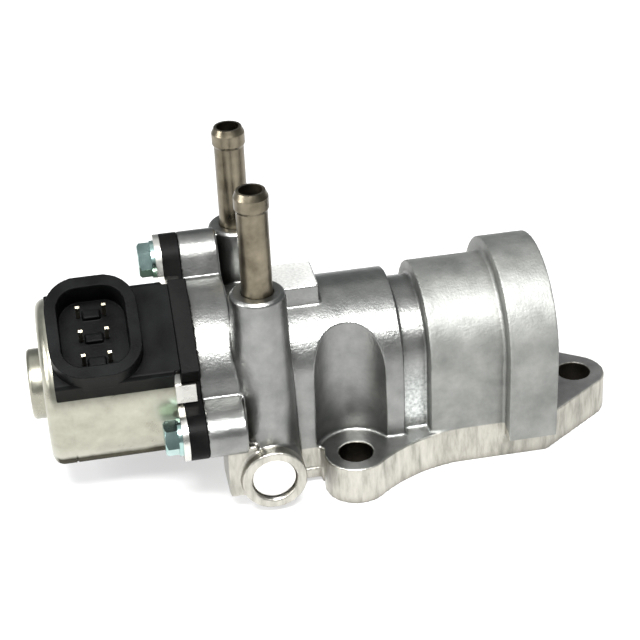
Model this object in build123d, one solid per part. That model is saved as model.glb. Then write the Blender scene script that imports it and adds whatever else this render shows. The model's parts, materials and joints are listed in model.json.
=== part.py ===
from build123d import *
import math
import os

# Exhaust gas recirculation valve: cast body on a three-bolt flange, coolant pipes, stepper motor drive.
# Origin on the mounting face, midway between the two side bolt holes and below the valve axis.
# +X runs along the valve from the motor to the closed end, +Z is up from the mounting face. Millimetres.

# Mounting flange
flange_thickness = 11.0
side_bolt_spacing = 48.0
end_bolt_reach = 68.0
flange_hole_radius = 4.5
flange_ear_radius = 8.6
flange_blend_radius = 40.0
flange_corner_inset = 1.2
outlet_port_x = 18.0
inlet_port_x = 42.5
port_radius = 8.0

# Body sections along the valve axis, from the motor face to the closed end
axis_height = 30.4
motor_face_x = -39.6
ear_boss_length = 10.2
main_end_x = 14.6
neck_length = 7.0
collar_length = 20.5
ring_length = 13.4
main_radius = 19.5
neck_radius = 16.6
collar_radius = 20.25
ring_radius = 24.3
ring_skirt_height = 7.2
main_floor_height = 3.6
main_overlap = 2.0
wrench_relief_radius = 10.6
motor_flange_radius = 24.2
edge_break = 0.8

# Coolant side: columns, pipes, cross drilling and its plug
column_x = -23.0
column_spacing = 39.4
column_top_radius = 7.2
column_foot_radius = 8.4
column_top_height = 60.8
plug_boss_height = 10.4
plug_boss_radius = 8.6
plug_boss_face_y = -31.3
coolant_drill_radius = 3.0
plug_radius = 6.0
plug_thickness = 3.6
plug_recess = 1.4
pipe_radius = 4.0
pipe_wall = 1.0
pipe_exposed = 28.2
pipe_inserted = 11.0
bead_radius = 4.4
bead_land = 3.0
bead_taper = 1.6

# Cast lugs on the body
top_pad_x = -18.6
top_pad_length = 13.4
top_pad_front_y = -8.0
top_pad_width = 14.0
top_pad_height = 53.8
web_x = -34.6
web_length = 8.0
web_front_y = -28.6
web_depth = 13.0
web_top_height = 20.0
web_floor_height = 5.0
lip_length = 9.0
lip_height = 3.0
lip_floor_height = 1.4

# Gas chamber, seat, stem, bush and end plug
chamber_start_x = 6.0
outlet_chamber_radius = 12.4
inlet_chamber_radius = 14.0
seat_inset = 7.4
seat_length = 4.5
seat_hole_radius = 9.0
seat_chamfer = 1.5
seat_gap = 0.3
stem_radius = 3.0
head_radius = 10.5
head_thickness = 2.2
head_flare = 1.8
valve_lift = 4.5
bush_radius = 6.0
seal_length = 3.2
end_plug_radius = 18.0
end_plug_thickness = 3.5
end_plug_recess = 0.6

# Return spring and its retainer
spring_seat_x = -16.0
spring_chamber_radius = 13.0
stem_tip_inset = 4.0
retainer_inset = 2.6
retainer_radius = 9.6
retainer_thickness = 1.8
retainer_lip = 1.4
clip_thickness = 0.8
clip_radius = 5.0
clip_groove_depth = 0.6
spring_radius = 6.6
spring_wire_radius = 0.8
spring_turns = 4.5
spring_end_gap = 0.1

# Spacer, motor plate and bolts
spacer_thickness = 4.8
plate_thickness = 1.6
motor_bolt_circle = 29.0
motor_bolt_count = 3
motor_ear_radius = 6.5
motor_bolt_radius = 2.5
motor_bolt_depth = 8.6
motor_bolt_end_gap = 1.0
bolt_hole_play = 0.25
hex_across_flats = 8.0
hex_height = 3.4
washer_radius = 5.0
washer_thickness = 1.0
face_seal_radius = 17.2
face_seal_width = 2.0
face_seal_depth = 1.3
tab_width = 4.6
tab_length = 3.6
tab_thickness = 1.2

# Motor can
can_length = 33.0
can_radius = 22.2
can_wall = 1.0
can_corner_radius = 3.0
boss_radius = 9.4
boss_length = 3.8
boss_corner_radius = 1.2
can_groove_place = 6.0
can_groove_width = 0.5
can_groove_depth = 0.25

# Connector on the can, turned up towards the front
connector_tilt = 52.4
block_length = 30.0
block_half_width = 13.0
block_reach = 27.4
block_corner_radius = 1.0
block_lip_play = 0.1
shroud_x = -64.6
shroud_length = 23.2
shroud_width = 27.4
shroud_shift = 0.6
shroud_root = 3.0
shroud_corner_radius = 8.6
shroud_wall = 3.0
shroud_rise = 5.8
socket_floor_wall = 2.0
window_length = 14.0
window_half_width = 6.5
pin_rows = 3
pin_columns = 2
pin_row_pitch = 6.5
pin_column_pitch = 6.6
pin_width = 1.0
pin_thickness = 0.64
pin_length = 6.4
pin_floor_skin = 0.4

# Stepper motor inside the can
air_gap = 0.4
stator_play = 0.1
stator_end_gap = 0.3
yoke_wall = 1.2
pole_gap = 1.0
bobbin_wall = 1.0
coil_inset = 0.6
magnet_radius = 9.0
magnet_end_gap = 3.0
hub_radius = 6.0
journal_radius = 4.0
bearing_radius = 8.0
bearing_length = 5.0
bearing_play = 0.05
screw_radius = 2.0
screw_play = 0.1
screw_flat = 1.4
screw_tail = 4.0
guide_play = 0.15
running_gap = 0.3

# Places worked out from the driving sizes
side_bolt_y = side_bolt_spacing / 2
column_y = column_spacing / 2
neck_x = main_end_x
collar_x = neck_x + neck_length
ring_x = collar_x + collar_length
end_x = ring_x + ring_length
seat_x = collar_x + seat_inset
seat_end_x = seat_x + seat_length
end_plug_x = end_x - end_plug_recess - end_plug_thickness
stem_tip_x = motor_face_x + stem_tip_inset
retainer_x = stem_tip_x + retainer_inset
spacer_x = motor_face_x - spacer_thickness
plate_x = spacer_x - plate_thickness
can_x = plate_x - can_length
block_x = plate_x - block_length
stator_x = can_x + can_corner_radius + stator_end_gap
stator_end_x = plate_x - stator_end_gap
bearing_rear_x = can_x - boss_length + can_wall + running_gap
bearing_front_x = spacer_x - bearing_length
can_bore = can_radius - can_wall
stator_radius = can_bore - stator_play
stator_bore = magnet_radius + air_gap
connector_angle = 180 - connector_tilt
shroud_reach = block_reach + shroud_rise
socket_floor_reach = can_radius + socket_floor_wall
pin_root = socket_floor_wall - pin_floor_skin
arm_edge_angle = math.degrees(math.asin(block_half_width / motor_flange_radius))
ear_edge_angle = 180 / motor_bolt_count - math.degrees(math.asin(motor_ear_radius / motor_flange_radius))
tab_angle = (arm_edge_angle + ear_edge_angle) / 2
motor_bolt_angles = [connector_angle + (i + 0.5) * 360 / motor_bolt_count for i in range(motor_bolt_count)]


# Section plane across the valve axis: its own x is +Y, its own y is +Z, its normal is +X
def axis_plane(x):
    return Plane(origin=(x, 0, axis_height), x_dir=(0, 1, 0), z_dir=(1, 0, 0))


# Plane across the valve axis turned so that its own x points to an angle from +Y towards +Z
def turned_plane(x, angle):
    a = math.radians(angle)
    return Plane(origin=(x, 0, axis_height), x_dir=(0, math.cos(a), math.sin(a)), z_dir=(1, 0, 0))


def rod(x0, x1, radius):
    return axis_plane(x0) * Cylinder(radius, x1 - x0, align=(Align.CENTER, Align.CENTER, Align.MIN))


def tube(x0, x1, outer, inner):
    return rod(x0, x1, outer) - rod(x0, x1, inner)


def turned_block(x0, x1, reach0, reach1, half_width, angle):
    outline = Pos((reach0 + reach1) / 2, 0) * Rectangle(reach1 - reach0, 2 * half_width)
    return extrude(turned_plane(x0, angle) * outline, amount=x1 - x0)


# Solid turned about the valve axis from points of x and radius
def turned(points):
    outline = Polyline(*[(x, 0, axis_height + r) for x, r in points], close=True)
    axis = Axis((0, 0, axis_height), (1, 0, 0))
    return revolve(make_face(outline), axis, 360)


# Half-round top on straight legs that reach down to a floor height
def arch(x0, x1, radius, floor_height):
    leg = axis_height - floor_height
    outline = Circle(radius) + Pos(0, -leg / 2) * Rectangle(2 * radius, leg)
    return extrude(axis_plane(x0) * outline, amount=x1 - x0)


def upright(x, y, z0, z1, radius):
    return Pos(x, y, z0) * Cylinder(radius, z1 - z0, align=(Align.CENTER, Align.CENTER, Align.MIN))


def cross_rod(x, z, y0, y1, radius):
    plane = Plane(origin=(x, y0, z), x_dir=(1, 0, 0), z_dir=(0, 1, 0))
    return plane * Cylinder(radius, y1 - y0, align=(Align.CENTER, Align.CENTER, Align.MIN))


def slab(x0, x1, y0, y1, z0, z1):
    return Pos(x0, y0, z0) * Box(x1 - x0, y1 - y0, z1 - z0, align=(Align.MIN, Align.MIN, Align.MIN))


def motor_bolt_places(x):
    return [turned_plane(x, angle) * Pos(motor_bolt_circle, 0) for angle in motor_bolt_angles]


# Round plate outline with an ear for each motor bolt, drawn across the valve axis
def eared_outline(radius):
    outline = Circle(radius)
    for angle in motor_bolt_angles:
        arm = Pos(motor_bolt_circle / 2, 0) * Rectangle(motor_bolt_circle, 2 * motor_ear_radius)
        arm += Pos(motor_bolt_circle, 0) * Circle(motor_ear_radius)
        outline += Rot(0, 0, angle) * arm
    return outline


def motor_bolt_holes(x0, x1, radius):
    drill = Cylinder(radius, x1 - x0, align=(Align.CENTER, Align.CENTER, Align.MIN))
    return [place * drill for place in motor_bolt_places(x0)]


# Point on the end ear where a straight edge from the flange corner touches it
def ear_tangent(corner_x, corner_y):
    dx = corner_x - end_bolt_reach
    distance = math.hypot(dx, corner_y)
    turn = math.atan2(corner_y, dx) - math.acos(flange_ear_radius / distance)
    return (end_bolt_reach + flange_ear_radius * math.cos(turn), flange_ear_radius * math.sin(turn))


def flange():
    corner_x = end_x - flange_corner_inset
    touch = ear_tangent(corner_x, collar_radius)
    far_side = [(-flange_ear_radius, collar_radius), (corner_x, collar_radius), touch]
    near_side = [(x, -y) for x, y in reversed(far_side)]
    outline = make_face(Polyline(*far_side, (end_bolt_reach, 0), *near_side, close=True))
    outline += Pos(end_bolt_reach, 0) * Circle(flange_ear_radius)
    for side in (-1, 1):
        outline += Pos(0, side * side_bolt_y) * Circle(flange_ear_radius)
    inner_corners = [v for v in outline.vertices() if v.X > 0.1 and abs(abs(v.Y) - collar_radius) < 0.01
                     and v.X < neck_x]
    outline = fillet(inner_corners, flange_blend_radius)
    return extrude(outline, amount=flange_thickness)


def columns():
    shape = None
    height = column_top_height - plug_boss_height
    for side in (-1, 1):
        column = Pos(column_x, side * column_y, plug_boss_height) * Cone(
            column_foot_radius, column_top_radius, height, align=(Align.CENTER, Align.CENTER, Align.MIN))
        column = chamfer(column.edges().group_by(Axis.Z)[-1], edge_break)
        foot = cross_rod(column_x, plug_boss_height, 0, -plug_boss_face_y, plug_boss_radius)
        if side < 0:
            foot = mirror(foot, Plane.XZ)
        shape = column + foot if shape is None else shape + column + foot
    return shape


def body_outside():
    shape = flange()
    shape += arch(motor_face_x + ear_boss_length - main_overlap, neck_x, main_radius, main_floor_height)
    shape += arch(neck_x - edge_break, collar_x + edge_break, neck_radius, 0)
    shape += arch(collar_x, ring_x + edge_break, collar_radius, 0)
    shape += arch(ring_x, end_x, ring_radius, ring_skirt_height)
    shape += extrude(axis_plane(motor_face_x) * eared_outline(motor_flange_radius), amount=ear_boss_length)
    shape += columns()
    shape += slab(top_pad_x, top_pad_x + top_pad_length, top_pad_front_y, top_pad_front_y + top_pad_width,
                  axis_height, top_pad_height)
    shape += slab(web_x, web_x + web_length, web_front_y, web_front_y + web_depth,
                  web_floor_height, web_top_height)
    lip_x = -flange_ear_radius - lip_length
    shape += slab(lip_x, 0, -collar_radius, collar_radius, lip_floor_height, lip_floor_height + lip_height)
    for side in (-1, 1):
        shape -= upright(0, side * side_bolt_y, flange_thickness, axis_height + main_radius,
                         wrench_relief_radius)
    return shape


def valve_body():
    shape = body_outside()
    # Gas way: two ports up from the flange face, with the seat between them
    shape -= rod(chamber_start_x, seat_x + edge_break, outlet_chamber_radius)
    shape -= rod(seat_x, end_plug_x, inlet_chamber_radius)
    shape -= rod(end_plug_x, end_x, end_plug_radius)
    for x in (outlet_port_x, inlet_port_x):
        shape -= upright(x, 0, 0, axis_height, port_radius)
    # Stem bush and spring chamber
    shape -= rod(spring_seat_x, chamber_start_x, bush_radius)
    shape -= rod(motor_face_x, spring_seat_x, spring_chamber_radius)
    # Coolant drillings, with the cross drilling opened from the front
    for side in (-1, 1):
        shape -= upright(column_x, side * column_y, plug_boss_height, column_top_height, coolant_drill_radius)
        shape -= upright(column_x, side * column_y, column_top_height - pipe_inserted, column_top_height,
                         pipe_radius)
    shape -= cross_rod(column_x, plug_boss_height, plug_boss_face_y, column_y, coolant_drill_radius)
    shape -= cross_rod(column_x, plug_boss_height, plug_boss_face_y,
                       plug_boss_face_y + plug_recess + plug_thickness, plug_radius)
    # Bolt holes
    for x, y in ((0, -side_bolt_y), (0, side_bolt_y), (end_bolt_reach, 0)):
        shape -= upright(x, y, 0, flange_thickness, flange_hole_radius)
    for hole in motor_bolt_holes(motor_face_x, motor_face_x + motor_bolt_depth, motor_bolt_radius):
        shape -= hole
    return shape


def coolant_pipe(side):
    foot = column_top_height - pipe_inserted
    top = column_top_height + pipe_exposed
    land_top = top - bead_taper
    land_foot = land_top - bead_land
    bore = pipe_radius - pipe_wall
    points = [(bore, foot), (pipe_radius, foot), (pipe_radius, land_foot - bead_taper / 2),
              (bead_radius, land_foot), (bead_radius, land_top),
              (pipe_radius - pipe_wall / 3, top), (bore, top)]
    outline = Polyline(*[(column_x + r, side * column_y, z) for r, z in points], close=True)
    return revolve(make_face(outline), Axis((column_x, side * column_y, 0), (0, 0, 1)), 360)


def coolant_plug():
    y0 = plug_boss_face_y + plug_recess
    disc = cross_rod(column_x, plug_boss_height, y0, y0 + plug_thickness, plug_radius)
    return chamfer(disc.edges().group_by(Axis.Y)[0], edge_break / 2)


def end_plug():
    disc = rod(end_plug_x, end_plug_x + end_plug_thickness, end_plug_radius)
    return chamfer(disc.edges().group_by(Axis.X)[-1], edge_break)


def valve_seat():
    ring = tube(seat_x, seat_end_x, inlet_chamber_radius, seat_hole_radius)
    mouth = turned([(seat_end_x - seat_chamfer, 0), (seat_end_x - seat_chamfer, seat_hole_radius),
                    (seat_end_x, seat_hole_radius + seat_chamfer), (seat_end_x, 0)])
    return ring - mouth


# Stem and head turned as one piece, the head's cone parallel to the seat's
def valve_stem():
    cone_x = seat_end_x - seat_chamfer + seat_gap
    rim_x = cone_x + head_radius - seat_hole_radius
    face_x = rim_x + head_thickness
    throat = seat_hole_radius - edge_break
    throat_x = cone_x - edge_break
    stem = turned([(stem_tip_x, 0), (stem_tip_x, stem_radius), (throat_x - head_flare, stem_radius),
                   (throat_x, throat), (rim_x, head_radius), (face_x, head_radius), (face_x, 0)])
    return stem - tube(retainer_x - clip_thickness, retainer_x, stem_radius, stem_radius - clip_groove_depth)


def stem_bush():
    return tube(spring_seat_x, chamber_start_x - seal_length, bush_radius, stem_radius + bearing_play)


def stem_seal():
    return tube(chamber_start_x - seal_length, chamber_start_x, bush_radius, stem_radius + bearing_play)


def spring_retainer():
    disc = tube(retainer_x, retainer_x + retainer_thickness, retainer_radius, stem_radius)
    hub_end = retainer_x + retainer_thickness + retainer_lip
    centring = spring_radius - spring_wire_radius - running_gap
    return disc + tube(retainer_x + retainer_thickness, hub_end, centring, stem_radius)


# Open ring in the stem's groove, on the motor side of the retainer
def retainer_clip():
    ring = tube(retainer_x - clip_thickness, retainer_x, clip_radius, stem_radius - clip_groove_depth)
    mouth = stem_radius - clip_groove_depth
    return ring - turned_block(retainer_x - clip_thickness, retainer_x, 0, clip_radius + 1, mouth, -90)


def return_spring():
    foot = retainer_x + retainer_thickness + spring_wire_radius + spring_end_gap
    length = spring_seat_x - spring_wire_radius - spring_end_gap - foot
    path = Helix(length / spring_turns, length, spring_radius)
    path = axis_plane(foot) * path
    section = Plane(origin=path @ 0, z_dir=path % 0) * Circle(spring_wire_radius)
    return sweep(section, path=path, is_frenet=True)


# Moulded spacer with the rectangular arm that carries on the connector block's outline
def motor_spacer():
    outline = eared_outline(motor_flange_radius)
    arm = Pos(block_reach / 2, 0) * Rectangle(block_reach, 2 * block_half_width)
    outline += Rot(0, 0, connector_angle) * arm
    shape = extrude(axis_plane(spacer_x) * outline, amount=spacer_thickness)
    shape -= tube(motor_face_x - face_seal_depth, motor_face_x, face_seal_radius,
                  face_seal_radius - face_seal_width)
    for hole in motor_bolt_holes(spacer_x, motor_face_x, motor_bolt_radius + bolt_hole_play):
        shape -= hole
    return shape - screw_section(spacer_x, motor_face_x, guide_play)


def face_seal():
    return tube(motor_face_x - face_seal_depth, motor_face_x, face_seal_radius,
                face_seal_radius - face_seal_width)


# Pressed steel plate with two tabs folded over the spacer's rim beside the connector
def motor_plate():
    shape = extrude(axis_plane(plate_x) * eared_outline(motor_flange_radius), amount=plate_thickness)
    shape -= rod(plate_x, spacer_x, bearing_radius)
    for hole in motor_bolt_holes(plate_x, spacer_x, motor_bolt_radius + bolt_hole_play):
        shape -= hole
    for turn in (-tab_angle, tab_angle):
        inner = motor_flange_radius + stator_play
        shape += turned_block(plate_x, spacer_x + tab_length, inner, inner + tab_thickness, tab_width / 2,
                              connector_angle + turn)
        shape += turned_block(plate_x, spacer_x, inner - tab_thickness, inner, tab_width / 2,
                              connector_angle + turn)
    return shape


# Length of screw with its two flats, grown by a clearance
def screw_section(x0, x1, play):
    half = screw_flat + play
    round_part = rod(x0, x1, screw_radius + play)
    return round_part & turned_block(x0, x1, -2 * screw_radius, 2 * screw_radius, half, connector_angle)


def lead_screw():
    tail_x = bearing_rear_x + screw_tail
    flat_x = spacer_x - valve_lift - running_gap
    return rod(tail_x, flat_x, screw_radius) + screw_section(flat_x, stem_tip_x - running_gap, 0)


def motor_bolts():
    solids = []
    for place in motor_bolt_places(plate_x - washer_thickness):
        shank = Cylinder(motor_bolt_radius, washer_thickness + plate_thickness + spacer_thickness
                         + motor_bolt_depth - motor_bolt_end_gap,
                         align=(Align.CENTER, Align.CENTER, Align.MIN))
        hexagon = RegularPolygon(hex_across_flats / 2, 6, major_radius=False)
        head = extrude(hexagon, amount=-hex_height)
        cone = Cone(hex_across_flats / 2, hex_across_flats / 2 + hex_height, hex_height,
                    align=(Align.CENTER, Align.CENTER, Align.MIN))
        rim = Pos(0, 0, -hex_height) * cone
        solids.append(place * (shank + (head & rim)))
    return Compound(children=solids)


def motor_washers():
    solids = []
    for place in motor_bolt_places(plate_x - washer_thickness):
        disc = Cylinder(washer_radius, washer_thickness, align=(Align.CENTER, Align.CENTER, Align.MIN))
        hole = Cylinder(motor_bolt_radius + bolt_hole_play, washer_thickness,
                        align=(Align.CENTER, Align.CENTER, Align.MIN))
        solids.append(place * (disc - hole))
    return Compound(children=solids)


# Drawn can with its bearing boss, a locating groove and a window under the connector
def motor_can():
    outside = rod(can_x, plate_x, can_radius)
    outside = fillet(outside.edges().group_by(Axis.X)[0], can_corner_radius)
    boss = rod(can_x - boss_length, can_x + can_wall, boss_radius)
    boss = fillet(boss.edges().group_by(Axis.X)[0], boss_corner_radius)
    inside = rod(can_x + can_wall, plate_x, can_bore)
    inside = fillet(inside.edges().group_by(Axis.X)[0], can_corner_radius - can_wall)
    boss_bore = rod(can_x - boss_length + can_wall, can_x + can_wall, bearing_radius)
    groove_x = can_x + can_groove_place
    groove = tube(groove_x, groove_x + can_groove_width, can_radius + can_groove_depth,
                  can_radius - can_groove_depth)
    shape = outside + boss - inside - boss_bore - groove
    window_x = shroud_x - window_length / 2
    return shape - turned_block(window_x, window_x + window_length, 0, 2 * can_radius, window_half_width,
                                connector_angle)


# Plane across the connector's direction, at a reach from the valve axis: its own x is +X, its own y is up
def connector_plane(reach):
    a = math.radians(connector_angle)
    base = Plane(origin=(shroud_x, 0, axis_height), x_dir=(1, 0, 0), z_dir=(0, math.cos(a), math.sin(a)))
    return base.offset(reach)


def pin_places(reach):
    grid = GridLocations(pin_column_pitch, pin_row_pitch, pin_columns, pin_rows)
    shift = Pos(0, shroud_shift)
    return [connector_plane(reach) * shift * place for place in grid]


# Moulded block on the can, with a lip over the plate's rim and the open shroud round the terminals
def connector_housing():
    block = turned_block(block_x, plate_x, 0, block_reach, block_half_width, connector_angle)
    block = fillet(block.edges().filter_by(Axis.X), block_corner_radius)
    lip_foot = motor_flange_radius + block_lip_play
    lip = turned_block(plate_x - block_corner_radius, spacer_x, lip_foot, block_reach,
                       block_half_width - block_corner_radius, connector_angle)
    outer = RectangleRounded(shroud_length, shroud_width, shroud_corner_radius)
    inner = RectangleRounded(shroud_length - 2 * shroud_wall, shroud_width - 2 * shroud_wall,
                             shroud_corner_radius - shroud_wall)
    shift = Pos(0, shroud_shift)
    foot = block_reach - shroud_root
    shape = block + lip + extrude(connector_plane(foot) * shift * outer, amount=shroud_reach - foot)
    shape -= rod(block_x, plate_x, can_radius)
    window_x = shroud_x - window_length / 2
    neck = turned_block(window_x + stator_play, window_x + window_length - stator_play, 0, block_reach,
                        window_half_width - stator_play, connector_angle)
    shape += neck - rod(block_x, plate_x, can_bore)
    depth = shroud_reach - socket_floor_reach
    shape -= extrude(connector_plane(socket_floor_reach) * shift * inner, amount=depth)
    for place in pin_places(socket_floor_reach - pin_root):
        shape -= extrude(place * Rectangle(pin_width, pin_thickness), amount=pin_root)
    return shape


def connector_terminals():
    foot = socket_floor_reach - pin_root
    pins = [extrude(place * Rectangle(pin_width, pin_thickness), amount=pin_root + pin_length)
              for place in pin_places(foot)]
    return Compound(children=pins)


# One half of the stator, from x0 to x1: cup and ring yokes round a wound bobbin
def stator_half(x0, x1):
    middle = (x0 + x1) / 2
    pole_bore = stator_bore + yoke_wall
    cup = tube(x0, x1 - yoke_wall, stator_radius, stator_radius - yoke_wall)
    cup += tube(x0, x0 + yoke_wall, stator_radius, stator_bore)
    cup += tube(x0, middle - pole_gap / 2, pole_bore, stator_bore)
    ring = tube(x1 - yoke_wall, x1, stator_radius, stator_bore)
    ring += tube(middle + pole_gap / 2, x1, pole_bore, stator_bore)
    flange_radius = stator_radius - yoke_wall
    spool_x0 = x0 + yoke_wall
    spool_x1 = x1 - yoke_wall
    spool = tube(spool_x0, spool_x1, flange_radius, pole_bore)
    core = pole_bore + bobbin_wall
    spool -= tube(spool_x0 + bobbin_wall, spool_x1 - bobbin_wall, flange_radius, core)
    coil = tube(spool_x0 + bobbin_wall, spool_x1 - bobbin_wall, flange_radius - coil_inset, core)
    return {"yoke_cup": cup, "yoke_ring": ring, "bobbin": spool, "coil": coil}


def rotor_magnet():
    return tube(stator_x + magnet_end_gap, stator_end_x - magnet_end_gap - bearing_length, magnet_radius,
                hub_radius)


# Hub with the drive nut's bore and a journal at each end
def rotor_hub():
    tail_x = bearing_rear_x + running_gap
    waist_x0 = bearing_rear_x + bearing_length + running_gap
    waist_x1 = bearing_front_x - running_gap
    shape = rod(tail_x, spacer_x - running_gap, journal_radius)
    shape += rod(waist_x0, waist_x1, hub_radius)
    return shape - rod(tail_x, spacer_x, screw_radius + screw_play)


def bearing(x0):
    return tube(x0, x0 + bearing_length, bearing_radius, journal_radius + bearing_play)


stator_middle_x = (stator_x + stator_end_x) / 2
pieces = {
    "valve_body": valve_body(),
    "front_coolant_pipe": coolant_pipe(-1),
    "rear_coolant_pipe": coolant_pipe(1),
    "coolant_plug": coolant_plug(),
    "end_plug": end_plug(),
    "valve_seat": valve_seat(),
    "valve_stem": valve_stem(),
    "stem_bush": stem_bush(),
    "stem_seal": stem_seal(),
    "spring_retainer": spring_retainer(),
    "retainer_clip": retainer_clip(),
    "return_spring": return_spring(),
    "motor_spacer": motor_spacer(),
    "face_seal": face_seal(),
    "motor_plate": motor_plate(),
    "motor_bolts": motor_bolts(),
    "motor_washers": motor_washers(),
    "motor_can": motor_can(),
    "connector_housing": connector_housing(),
    "connector_terminals": connector_terminals(),
    "rotor_magnet": rotor_magnet(),
    "rotor_hub": rotor_hub(),
    "rear_bearing": bearing(bearing_rear_x),
    "front_bearing": bearing(bearing_front_x),
    "lead_screw": lead_screw(),
}
for end, x0, x1 in (("rear", stator_x, stator_middle_x), ("front", stator_middle_x, stator_end_x)):
    for name, shape in stator_half(x0, x1).items():
        pieces[f"{end}_{name}"] = shape

os.makedirs("parts", exist_ok=True)
for name, shape in pieces.items():
    export_step(shape, f"parts/{name}.step")
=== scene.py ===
import json
import math

import bmesh
import bpy
from mathutils import Matrix, Vector
from mathutils.bvhtree import BVHTree
from mathutils.geometry import barycentric_transform


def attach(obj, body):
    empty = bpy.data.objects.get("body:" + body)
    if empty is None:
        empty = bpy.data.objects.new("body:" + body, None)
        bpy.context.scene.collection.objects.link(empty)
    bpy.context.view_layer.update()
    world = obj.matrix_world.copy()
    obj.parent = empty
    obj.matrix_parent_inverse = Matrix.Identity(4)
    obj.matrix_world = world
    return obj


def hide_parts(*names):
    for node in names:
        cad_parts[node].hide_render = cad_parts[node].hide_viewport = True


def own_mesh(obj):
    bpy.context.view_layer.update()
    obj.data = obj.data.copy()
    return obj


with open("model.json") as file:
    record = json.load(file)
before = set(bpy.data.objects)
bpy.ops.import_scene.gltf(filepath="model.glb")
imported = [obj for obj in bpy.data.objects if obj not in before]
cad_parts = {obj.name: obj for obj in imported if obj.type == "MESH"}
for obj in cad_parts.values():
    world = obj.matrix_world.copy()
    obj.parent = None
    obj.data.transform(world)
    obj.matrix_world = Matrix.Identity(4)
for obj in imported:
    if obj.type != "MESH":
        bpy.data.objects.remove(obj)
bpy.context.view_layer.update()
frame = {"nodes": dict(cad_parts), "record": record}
print("stage: frame loaded")

mm = 0.001
axisHeight = 30.4 * mm


# Materials: a few small helpers, then one function per finish

def addNode(tree, kind, values=None, **settings):
    node = tree.nodes.new(kind)
    for name, value in settings.items():
        setattr(node, name, value)
    for name, value in (values or {}).items():
        node.inputs[name].default_value = value
    return node


def objectCoords(tree):
    return addNode(tree, "ShaderNodeTexCoord").outputs["Object"]


def stretched(tree, coords, scale):
    mapping = addNode(tree, "ShaderNodeMapping", {"Scale": scale})
    tree.links.new(coords, mapping.inputs["Vector"])
    return mapping.outputs["Vector"]


def noise(tree, coords, scale, detail=3.0, rough=0.5):
    node = addNode(tree, "ShaderNodeTexNoise", {"Scale": scale, "Detail": detail, "Roughness": rough})
    tree.links.new(coords, node.inputs["Vector"])
    return node.outputs["Fac"]


def spread(tree, source, low, high, newLow, newHigh):
    node = addNode(tree, "ShaderNodeMapRange", {"From Min": low, "From Max": high, "To Min": newLow,
                                                "To Max": newHigh})
    tree.links.new(source, node.inputs["Value"])
    return node.outputs["Result"]


def tint(tree, source, stops):
    node = addNode(tree, "ShaderNodeValToRGB")
    ramp = node.color_ramp
    while len(ramp.elements) < len(stops):
        ramp.elements.new(0.5)
    for element, (place, colour) in zip(ramp.elements, stops):
        element.position = place
        element.color = (*colour, 1.0)
    tree.links.new(source, node.inputs["Fac"])
    return node.outputs["Color"]


def blend(tree, share, first, second):
    node = addNode(tree, "ShaderNodeMix", data_type="RGBA")
    tree.links.new(share, node.inputs["Factor"])
    tree.links.new(first, node.inputs[6])
    tree.links.new(second, node.inputs[7])
    return node.outputs[2]


def calculate(tree, kind, first, second):
    node = addNode(tree, "ShaderNodeMath", operation=kind)
    for socket, value in zip(node.inputs, (first, second)):
        if isinstance(value, float):
            socket.default_value = value
        else:
            tree.links.new(value, socket)
    return node.outputs["Value"]


def bump(tree, shader, height, strength, distance, below=None):
    node = addNode(tree, "ShaderNodeBump", {"Strength": strength, "Distance": distance})
    tree.links.new(height, node.inputs["Height"])
    if below is not None:
        tree.links.new(below, node.inputs["Normal"])
    tree.links.new(node.outputs["Normal"], shader.inputs["Normal"])
    return node.outputs["Normal"]


def finish(name, metallic, roughness):
    material = bpy.data.materials.new(name)
    material.use_nodes = True
    tree = material.node_tree
    shader = tree.nodes["Principled BSDF"]
    shader.inputs["Metallic"].default_value = metallic
    shader.inputs["Roughness"].default_value = roughness
    return material, tree, shader


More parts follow.
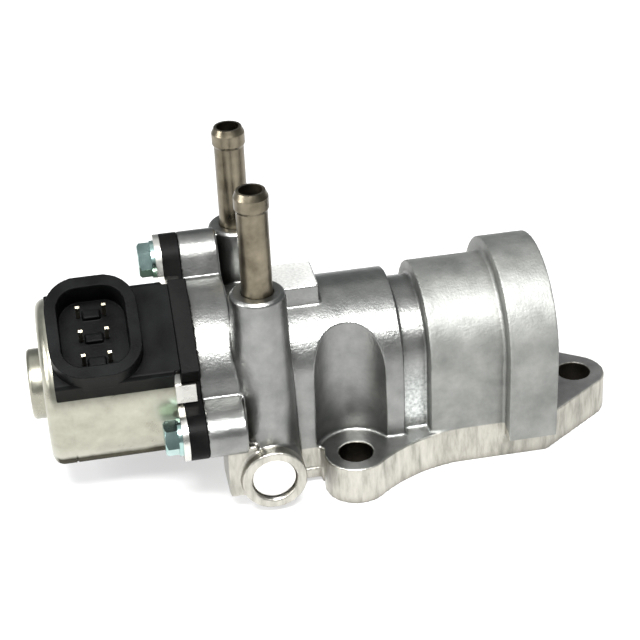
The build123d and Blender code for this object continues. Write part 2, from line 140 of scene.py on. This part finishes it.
# Cast aluminium: grain all over, painted shade in corners, in the bolt holes and on the flange's upward
# faces, turned rings past the neck, paler sides.
# The places below are in metres and follow the casting: flange, web, neck, plug boss, pad and bolt holes.
def castAluminium():
    material, tree, shader = finish("castAluminium", 1.0, 0.4)
    coords = objectCoords(tree)
    place = addNode(tree, "ShaderNodeSeparateXYZ")
    tree.links.new(coords, place.inputs["Vector"])
    x, y, z = place.outputs["X"], place.outputs["Y"], place.outputs["Z"]
    facing = addNode(tree, "ShaderNodeSeparateXYZ")
    tree.links.new(addNode(tree, "ShaderNodeTexCoord").outputs["Normal"], facing.inputs["Vector"])
    blotch = noise(tree, coords, 110.0, 5.0, 0.6)
    patch = noise(tree, coords, 260.0, 4.0, 0.65)
    grain = noise(tree, coords, 1300.0, 3.0, 0.6)
    rings = noise(tree, stretched(tree, coords, (1800.0, 40.0, 40.0)), 1.0, 2.0)
    streaks = noise(tree, stretched(tree, coords, (420.0, 420.0, 90.0)), 1.0, 5.0, 0.65)

    def within(source, low, high):
        rising = spread(tree, source, low - 0.0003, low + 0.0003, 0.0, 1.0)
        falling = spread(tree, source, high - 0.0003, high + 0.0003, 1.0, 0.0)
        return calculate(tree, "MULTIPLY", rising, falling)

    def both(first, second):
        return calculate(tree, "MULTIPLY", first, second)

    def bore(holeX, holeY):
        across = calculate(tree, "SUBTRACT", x, holeX)
        along = calculate(tree, "SUBTRACT", calculate(tree, "ABSOLUTE", y, 0.0), holeY)
        square = calculate(tree, "ADD", both(across, across), both(along, along))
        return spread(tree, calculate(tree, "SQRT", square, 0.0), 0.0046, 0.0049, 1.0, 0.0)

    upward = spread(tree, facing.outputs["Z"], 0.85, 0.97, 0.0, 1.0)
    onRing = within(x, 0.0422, 0.0560)
    topLimit = spread(tree, onRing, 0.0, 1.0, 0.0109, 0.0072)
    onFlange = spread(tree, calculate(tree, "SUBTRACT", z, topLimit), -0.0002, 0.0002, 1.0, 0.0)
    onWeb = both(within(x, -0.06, -0.0262), within(z, -0.01, 0.0202))
    onNeck = both(within(x, 0.0149, 0.0213), spread(tree, z, 0.0180, 0.0330, 1.0, 0.0))
    pastNeck = within(x, 0.0214, 0.09)
    aside = calculate(tree, "ADD", x, 0.0230)
    above = calculate(tree, "SUBTRACT", z, 0.0104)
    fromBoss = calculate(tree, "SQRT", calculate(tree, "ADD", both(aside, aside), both(above, above)), 0.0)
    onBoss = both(spread(tree, fromBoss, 0.0088, 0.0090, 1.0, 0.0),
                  spread(tree, calculate(tree, "ABSOLUTE", y, 0.0), 0.0278, 0.0282, 0.0, 1.0))
    paleSide = calculate(tree, "MAXIMUM", calculate(tree, "MAXIMUM", onFlange, onWeb), onBoss)
    # painted shade: the flange's upward faces get a darker colour than its sides
    shadedFlangeTop = both(upward, within(z, -0.01, 0.0118))
    padTop = both(both(upward, within(z, 0.0522, 0.0560)), within(x, -0.0190, -0.0040))
    # painted shade on the walls of the bolt holes
    holeShade = both(calculate(tree, "MAXIMUM", bore(0.0, 0.024), bore(0.068, 0.0)), within(z, -0.01, 0.0112))
    castColour = tint(tree, blotch, [(0.32, (0.165, 0.168, 0.163)), (0.68, (0.27, 0.272, 0.262))])
    turnedColour = tint(tree, blotch, [(0.30, (0.185, 0.19, 0.18)), (0.70, (0.315, 0.318, 0.303))])
    neckColour = tint(tree, grain, [(0.35, (0.36, 0.38, 0.37)), (0.65, (0.72, 0.74, 0.72))])
    sideColour = tint(tree, streaks, [(0.28, (0.24, 0.235, 0.205)), (0.52, (0.44, 0.425, 0.38)),
                                      (0.78, (0.58, 0.56, 0.51))])
    # painted shade colour for the flange's upward faces
    shadedTopColour = tint(tree, blotch, [(0.32, (0.15, 0.15, 0.147)), (0.68, (0.25, 0.25, 0.243))])
    padColour = tint(tree, grain, [(0.30, (0.72, 0.72, 0.70)), (0.70, (0.93, 0.93, 0.91))])
    # painted shade colour for the bolt holes
    holeShadeColour = tint(tree, blotch, [(0.32, (0.020, 0.017, 0.013)), (0.68, (0.050, 0.044, 0.035))])
    colour = blend(tree, pastNeck, castColour, turnedColour)
    colour = blend(tree, onNeck, colour, neckColour)
    colour = blend(tree, paleSide, colour, sideColour)
    # lays the painted shade on the flange's upward faces
    colour = blend(tree, shadedFlangeTop, colour, shadedTopColour)
    colour = blend(tree, padTop, colour, padColour)
    # lays the painted shade in the bolt holes
    colour = blend(tree, holeShade, colour, holeShadeColour)
    # painted shade: ambient occlusion darkens the colour in corners and creases
    corner = addNode(tree, "ShaderNodeAmbientOcclusion", {"Distance": 0.004}, samples=6)
    cornerShade = tint(tree, corner.outputs["AO"], [(0.25, (0.30, 0.29, 0.27)), (0.85, (1.0, 1.0, 1.0))])
    cornerShaded = addNode(tree, "ShaderNodeMix", {"Factor": 1.0}, data_type="RGBA", blend_type="MULTIPLY")
    tree.links.new(colour, cornerShaded.inputs[6])
    tree.links.new(cornerShade, cornerShaded.inputs[7])
    tree.links.new(cornerShaded.outputs[2], shader.inputs["Base Color"])
    satin = calculate(tree, "ADD", spread(tree, patch, 0.3, 0.7, 0.29, 0.38),
                      calculate(tree, "MULTIPLY", pastNeck, 0.24))
    tree.links.new(calculate(tree, "ADD", satin, calculate(tree, "MULTIPLY", padTop, 0.3)),
                   shader.inputs["Roughness"])
    first = bump(tree, shader, grain, 0.30, 0.00025)
    second = bump(tree, shader, both(rings, pastNeck), 0.08, 0.0002, first)
    bump(tree, shader, both(streaks, onFlange), 0.06, 0.0003, second)
    return material


# Plain metals: a base tint with soft patches and fine marks along one direction
def plainMetal(name, dark, light, roughness, stretch, depth):
    material, tree, shader = finish(name, 1.0, roughness)
    coords = objectCoords(tree)
    patches = noise(tree, coords, 160.0, 4.0)
    marks = noise(tree, stretched(tree, coords, stretch), 1.0, 3.0)
    tree.links.new(tint(tree, patches, [(0.3, dark), (0.7, light)]), shader.inputs["Base Color"])
    satin = spread(tree, patches, 0.3, 0.7, roughness - 0.07, roughness + 0.07)
    tree.links.new(satin, shader.inputs["Roughness"])
    bump(tree, shader, marks, depth, 0.0002)
    return material


# Pressed plugs: the small one bright and smooth, the large one in the end ring a duller turned disc
def pressedPlug():
    material, tree, shader = finish("plugSteel", 1.0, 0.3)
    coords = objectCoords(tree)
    place = addNode(tree, "ShaderNodeSeparateXYZ")
    tree.links.new(coords, place.inputs["Vector"])
    patches = noise(tree, coords, 160.0, 4.0)
    marks = noise(tree, stretched(tree, coords, (900.0, 60.0, 900.0)), 1.0, 3.0)
    atEnd = spread(tree, place.outputs["X"], 0.02, 0.03, 0.0, 1.0)
    bright = tint(tree, patches, [(0.3, (0.80, 0.79, 0.76)), (0.7, (0.93, 0.92, 0.89))])
    dull = tint(tree, patches, [(0.3, (0.30, 0.30, 0.29)), (0.7, (0.44, 0.44, 0.42))])
    tree.links.new(blend(tree, atEnd, bright, dull), shader.inputs["Base Color"])
    satin = spread(tree, patches, 0.3, 0.7, 0.23, 0.37)
    rougher = calculate(tree, "MULTIPLY", atEnd, 0.15)
    tree.links.new(calculate(tree, "ADD", satin, rougher), shader.inputs["Roughness"])
    bump(tree, shader, marks, 0.10, 0.0002)
    return material


# Zinc on the drawn can: pale and slightly green, with painted shade as a dark, dull band round the underside
def zincCan():
    material, tree, shader = finish("canZinc", 1.0, 0.32)
    coords = objectCoords(tree)
    patches = noise(tree, coords, 140.0, 5.0, 0.6)
    marks = noise(tree, stretched(tree, coords, (60.0, 900.0, 900.0)), 1.0, 3.0)
    place = addNode(tree, "ShaderNodeSeparateXYZ")
    tree.links.new(coords, place.inputs["Vector"])
    facing = addNode(tree, "ShaderNodeSeparateXYZ")
    tree.links.new(addNode(tree, "ShaderNodeTexCoord").outputs["Normal"], facing.inputs["Vector"])
    # painted shade: a dark, dull, non-metallic band round the can's underside, with a ragged upper edge
    ragged = calculate(tree, "ADD", place.outputs["Z"], calculate(tree, "MULTIPLY", patches, 0.002))
    onWall = spread(tree, calculate(tree, "ABSOLUTE", facing.outputs["X"], 0.0), 0.5, 0.85, 1.0, 0.0)
    below = calculate(tree, "MULTIPLY", spread(tree, ragged, 0.0176, 0.0194, 1.0, 0.0), onWall)
    zincTone = tint(tree, patches, [(0.3, (0.28, 0.273, 0.222)), (0.7, (0.43, 0.422, 0.352))])
    # painted shade colour for the underside band
    undersideShade = tint(tree, patches, [(0.3, (0.018, 0.016, 0.010)), (0.7, (0.05, 0.046, 0.032))])
    tree.links.new(blend(tree, below, zincTone, undersideShade), shader.inputs["Base Color"])
    satin = spread(tree, patches, 0.3, 0.7, 0.25, 0.38)
    rougher = calculate(tree, "MULTIPLY", below, 0.5)
    tree.links.new(calculate(tree, "ADD", satin, rougher), shader.inputs["Roughness"])
    tree.links.new(spread(tree, below, 0.0, 1.0, 1.0, 0.0), shader.inputs["Metallic"])
    tree.links.new(spread(tree, below, 0.0, 1.0, 0.5, 0.05), shader.inputs["Specular IOR Level"])
    bump(tree, shader, marks, 0.08, 0.0002)
    return material


# Moulded plastic: near even tint, a fine skin and a few dusty patches
def moulding(name, dark, light, roughness, grainScale, shine=0.05):
    material, tree, shader = finish(name, 0.0, roughness)
    shader.inputs["Specular IOR Level"].default_value = shine
    coords = objectCoords(tree)
    patches = noise(tree, coords, 120.0, 4.0)
    grain = noise(tree, coords, grainScale, 2.0)
    tree.links.new(tint(tree, patches, [(0.35, dark), (0.75, light)]), shader.inputs["Base Color"])
    satin = spread(tree, patches, 0.3, 0.7, roughness - 0.06, roughness + 0.08)
    tree.links.new(satin, shader.inputs["Roughness"])
    bump(tree, shader, grain, 0.15, 0.0002)
    return material


# Enamelled copper, with the turns of wire as ridges along X
def woundWire():
    material, tree, shader = finish("woundWire", 1.0, 0.35)
    wave = addNode(tree, "ShaderNodeTexWave", {"Scale": 900.0, "Distortion": 0.4}, bands_direction="X")
    tree.links.new(objectCoords(tree), wave.inputs["Vector"])
    tree.links.new(tint(tree, wave.outputs["Fac"], [(0.2, (0.16, 0.05, 0.02)), (0.7, (0.62, 0.25, 0.12))]),
                   shader.inputs["Base Color"])
    bump(tree, shader, wave.outputs["Fac"], 0.6, 0.0003)
    return material


aluminium = castAluminium()
canZinc = zincCan()
pipeSteel = plainMetal("pipeSteel", (0.075, 0.064, 0.045), (0.23, 0.20, 0.148), 0.32,
                       (700.0, 700.0, 50.0), 0.32)
plugSteel = pressedPlug()
plateSteel = plainMetal("plateSteel", (0.48, 0.47, 0.44), (0.70, 0.69, 0.65),
                        0.28, (900.0, 500.0, 500.0), 0.10)
boltZinc = plainMetal("boltZinc", (0.28, 0.41, 0.385), (0.40, 0.545, 0.525),
                      0.22, (1200.0, 300.0, 300.0), 0.12)
terminalTin = plainMetal("terminalTin", (0.30, 0.27, 0.20), (0.55, 0.50, 0.38),
                         0.28, (900.0, 900.0, 200.0), 0.06)
stemSteel = plainMetal("stemSteel", (0.38, 0.37, 0.36), (0.58, 0.57, 0.55),
                       0.26, (2400.0, 60.0, 60.0), 0.10)
springSteel = plainMetal("springSteel", (0.24, 0.24, 0.25), (0.42, 0.42, 0.43),
                         0.32, (600.0, 600.0, 600.0), 0.10)
bushMetal = plainMetal("bushMetal", (0.46, 0.33, 0.16), (0.64, 0.48, 0.26),
                       0.36, (2400.0, 60.0, 60.0), 0.10)
yokeSteel = plainMetal("yokeSteel", (0.36, 0.355, 0.34), (0.52, 0.515, 0.49),
                       0.40, (200.0, 900.0, 900.0), 0.08)
magnetMetal = plainMetal("magnetMetal", (0.07, 0.07, 0.075), (0.13, 0.13, 0.135),
                         0.5, (600.0, 600.0, 600.0), 0.15)
blackMoulding = moulding("blackMoulding", (0.002, 0.002, 0.002),
                         (0.006, 0.0063, 0.0064), 0.34, 2400.0, 0.02)
spacerMoulding = moulding("spacerMoulding", (0.002, 0.002, 0.002),
                          (0.006, 0.0058, 0.0056), 0.4, 2000.0, 0.03)
bobbinMoulding = moulding("bobbinMoulding", (0.55, 0.53, 0.46), (0.68, 0.66, 0.60), 0.5, 1800.0)
hubMoulding = moulding("hubMoulding", (0.42, 0.41, 0.38), (0.54, 0.53, 0.50), 0.48, 1800.0)
sealRubber = moulding("sealRubber", (0.012, 0.012, 0.012), (0.03, 0.03, 0.03), 0.62, 1600.0)
wire = woundWire()

finishes = {
    "cast_body": aluminium, "pipe_steel": pipeSteel, "plug_steel": plugSteel, "can_steel": canZinc,
    "plate_steel": plateSteel, "bolt_steel": boltZinc, "black_moulding": blackMoulding,
    "spacer_moulding": spacerMoulding, "terminal_metal": terminalTin, "stem_steel": stemSteel,
    "spring_steel": springSteel, "bush_metal": bushMetal, "seal_rubber": sealRubber, "yoke_steel": yokeSteel,
    "bobbin_moulding": bobbinMoulding, "coil_wire": wire, "magnet": magnetMetal, "hub_moulding": hubMoulding,
}
slotOf = {entry["node"]: entry["material_slot"] for entry in frame["record"]["subparts"]}
for nodeName, node in frame["nodes"].items():
    node.data.materials.clear()
    node.data.materials.append(finishes[slotOf[nodeName]])
print("stage: materials on", len(frame["nodes"]), "nodes")


# Settles a rounded skin back on the solid's faces away from the edges, and takes the solid's normals there
def settle(made, solid, near, far):
    solid.calc_loop_triangles()
    cornerSlopes = [c.vector.copy() for c in solid.corner_normals]
    spots = [v.co.copy() for v in solid.vertices]
    corners = [tuple(t.vertices) for t in solid.loop_triangles]
    slopes = [[cornerSlopes[i] for i in t.loops] for t in solid.loop_triangles]
    tree = BVHTree.FromPolygons(spots, corners)
    places = [v.co.copy() for v in made.vertices]
    normals = [v.normal.copy() for v in made.vertices]
    for i, (place, rounded) in enumerate(zip(places, normals)):
        spot, _, index, distance = tree.find_nearest(place)
        slope = barycentric_transform(spot, *[spots[k] for k in corners[index]], *slopes[index])
        slope.normalize()
        share = min(1.0, max(0.0, (distance - near) / (far - near)))
        if slope.dot(rounded) > 0.86 and share < 1.0:
            places[i] = spot.lerp(place, share)
            normals[i] = slope.lerp(rounded, share).normalized()
    made.vertices.foreach_set("co", [c for place in places for c in place])
    made.update()
    made.normals_split_custom_set_from_vertices(normals)


# A copy of a cast or moulded node with its edges and inner corners rounded all over
def softened(nodeName, pieceName, voxel, rounds, budget, additions=()):
    mesh = frame["nodes"][nodeName].data.copy()
    mesh.name = pieceName
    piece = bpy.data.objects.new(pieceName, mesh)
    bpy.context.scene.collection.objects.link(piece)
    skin = bmesh.new()
    skin.from_mesh(mesh)
    bmesh.ops.remove_doubles(skin, verts=skin.verts, dist=1e-6)
    for matrix in additions:
        bmesh.ops.create_cube(skin, size=1.0, matrix=matrix)
    skin.to_mesh(mesh)
    skin.free()
    remesh = piece.modifiers.new("skin", "REMESH")
    remesh.mode = "VOXEL"
    remesh.voxel_size = voxel
    remesh.use_smooth_shade = True
    smooth = piece.modifiers.new("edgeRadius", "SMOOTH")
    smooth.factor = 0.5
    smooth.iterations = rounds
    graph = bpy.context.evaluated_depsgraph_get()
    dense = piece.evaluated_get(graph).data
    triangles = 2 * len(dense.polygons)
    thin = piece.modifiers.new("budget", "DECIMATE")
    thin.ratio = min(1.0, budget / triangles)
    graph = bpy.context.evaluated_depsgraph_get()
    made = bpy.data.meshes.new_from_object(piece.evaluated_get(graph))
    made.name = pieceName
    piece.modifiers.clear()
    piece.data = made
    bpy.data.meshes.remove(mesh)
    made.materials.clear()
    made.materials.append(finishes[slotOf[nodeName]])
    for face in made.polygons:
        face.use_smooth = True
    settle(made, frame["nodes"][nodeName].data, 0.03 * mm, 0.10 * mm)
    print("softened", pieceName, triangles, "to", len(made.polygons))
    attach(piece, "housing")
    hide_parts(nodeName)


softened("valve_body", "castBody", 0.45 * mm, 6, 190000)

# Low ribs on the socket floor, one between the two pins of each row
socket = {"x": -64.6 * mm, "tilt": 52.4, "floor": 24.2 * mm, "shift": 0.6 * mm, "pitch": 6.5 * mm}
rib = {"length": 4.4 * mm, "thickness": 2.4 * mm, "rise": 1.2 * mm, "root": 0.6 * mm}
tilt = math.radians(socket["tilt"])
outward = Vector((0.0, -math.cos(tilt), math.sin(tilt)))
upward = Vector((0.0, math.sin(tilt), math.cos(tilt)))
ribPlaces = []
for row in (-1, 0, 1):
    reach = socket["floor"] + (rib["rise"] - rib["root"]) / 2
    centre = Vector((socket["x"], 0.0, axisHeight)) + outward * reach
    centre += upward * (socket["shift"] + row * socket["pitch"])
    columns = (Vector((rib["length"], 0.0, 0.0)), upward * rib["thickness"],
               outward * (rib["rise"] + rib["root"]))
    turn = Matrix(columns).transposed().to_4x4()
    ribPlaces.append(Matrix.Translation(centre) @ turn)
softened("connector_housing", "connectorShell", 0.25 * mm, 3, 60000, ribPlaces)
softened("motor_spacer", "spacerPlate", 0.25 * mm, 3, 50000)

# A copy of the return spring, with its doubled points merged, rides on the housing in place of the CAD node
coilMesh = frame["nodes"]["return_spring"].data.copy()
coilMesh.name = "springCoil"
merged = bmesh.new()
merged.from_mesh(coilMesh)
bmesh.ops.remove_doubles(merged, verts=merged.verts, dist=1e-6)
merged.to_mesh(coilMesh)
merged.free()
springCoil = bpy.data.objects.new("springCoil", coilMesh)
bpy.context.scene.collection.objects.link(springCoil)
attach(springCoil, "housing")
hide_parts("return_spring")
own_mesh(springCoil)
print("stage: casting, mouldings and spring")


# Stage: pale floor, soft light and the camera
def floorFinish():
    material, tree, shader = finish("floorFinish", 0.0, 0.9)
    shader.inputs["Base Color"].default_value = (0.9, 0.9, 0.9, 1.0)
    shader.inputs["Specular IOR Level"].default_value = 0.0
    glow = addNode(tree, "ShaderNodeEmission", {"Color": (1.0, 1.0, 1.0, 1.0), "Strength": 1.0})
    path = addNode(tree, "ShaderNodeLightPath")
    seen = calculate(tree, "MAXIMUM", path.outputs["Is Camera Ray"], path.outputs["Is Glossy Ray"])
    seen = calculate(tree, "MAXIMUM", seen, path.outputs["Is Transmission Ray"])
    share = calculate(tree, "MULTIPLY", seen, 0.6)
    mixer = addNode(tree, "ShaderNodeMixShader")
    tree.links.new(share, mixer.inputs["Fac"])
    tree.links.new(shader.outputs["BSDF"], mixer.inputs[1])
    tree.links.new(glow.outputs["Emission"], mixer.inputs[2])
    tree.links.new(mixer.outputs["Shader"], tree.nodes["Material Output"].inputs["Surface"])
    return material


floorMesh = bpy.data.meshes.new("floor")
sheet = bmesh.new()
bmesh.ops.create_grid(sheet, x_segments=1, y_segments=1, size=3.0)
sheet.to_mesh(floorMesh)
sheet.free()
floorMesh.materials.append(floorFinish())
floor = bpy.data.objects.new("floor", floorMesh)
floor.location = (0.0, 0.0, -0.05 * mm)
bpy.context.scene.collection.objects.link(floor)


def softLight(name, place, target, size, power):
    lamp = bpy.data.lights.new(name, "AREA")
    lamp.shape = "RECTANGLE"
    lamp.size, lamp.size_y = size
    lamp.energy = power
    holder = bpy.data.objects.new(name, lamp)
    holder.location = place
    holder.rotation_euler = (Vector(target) - Vector(place)).to_track_quat("-Z", "Y").to_euler()
    bpy.context.scene.collection.objects.link(holder)


middle = (0.0, 0.0, 0.03)
softLight("frontAbove", (-0.08, -0.38, 0.62), middle, (0.45, 0.18), 15.0)
softLight("leftSide", (-0.62, -0.12, 0.35), middle, (0.22, 0.30), 3.5)
softLight("ceiling", (0.0, 0.6, 2.2), (0.0, 0.6, 0.0), (3.0, 3.0), 14.0)

world = bpy.data.worlds.new("studio")
bpy.context.scene.world = world
world.use_nodes = True
world.node_tree.nodes["Background"].inputs["Color"].default_value = (0.95, 1.0, 1.0, 1.0)
world.node_tree.nodes["Background"].inputs["Strength"].default_value = 0.3

cameraData = bpy.data.cameras.new("camera")
cameraData.sensor_width = 36.0
cameraData.lens = 94.78
cameraData.shift_x = -0.0015
cameraData.shift_y = 0.0109
cameraData.clip_start = 0.01
cameraData.clip_end = 20.0
camera = bpy.data.objects.new("camera", cameraData)
camera.matrix_world = Matrix((
    (0.98133, 0.12944, -0.14232, -0.06861),
    (-0.18821, 0.49283, -0.84953, -0.38638),
    (-0.03983, 0.86045, 0.50798, 0.26723),
    (0.0, 0.0, 0.0, 1.0),
))
bpy.context.scene.collection.objects.link(camera)
bpy.context.scene.camera = camera
bpy.context.scene.view_settings.view_transform = "Standard"
print("stage: floor, light and camera")
